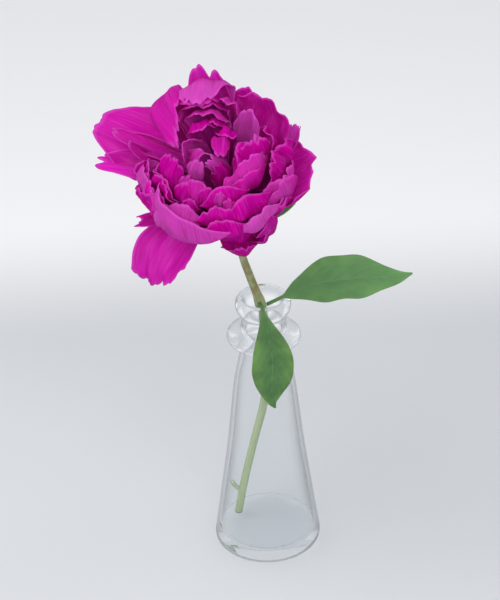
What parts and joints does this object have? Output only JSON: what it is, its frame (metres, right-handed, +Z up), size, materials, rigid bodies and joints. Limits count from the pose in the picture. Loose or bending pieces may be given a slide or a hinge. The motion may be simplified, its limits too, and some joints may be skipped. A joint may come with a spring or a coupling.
{
  "type": "peony in a bud vase",
  "caption": "One cut double peony with leaves, standing in a tall clear glass bud vase with a collar round its neck.",
  "frame": {"origin": "middle of the vase's flat foot, on the surface that it stands on", "axes": "+Z up along the vase, +X to the right leaf, -Y to the front, where the bloom faces"},
  "size_m": [0.176, 0.1188, 0.3232],
  "materials": {
    "glass": "polished",
    "stem": "satin",
    "leaf": "satin",
    "calyx": "satin",
    "petal": "matte"
  },
  "bodies": {
    "root": {"vase": "glass", "stem": "stem", "leaf_right": "leaf", "leaf_front": "leaf", "leaf_back": "leaf", "calyx": "calyx", "bloom": "petal"}
  },
  "joints": []
}
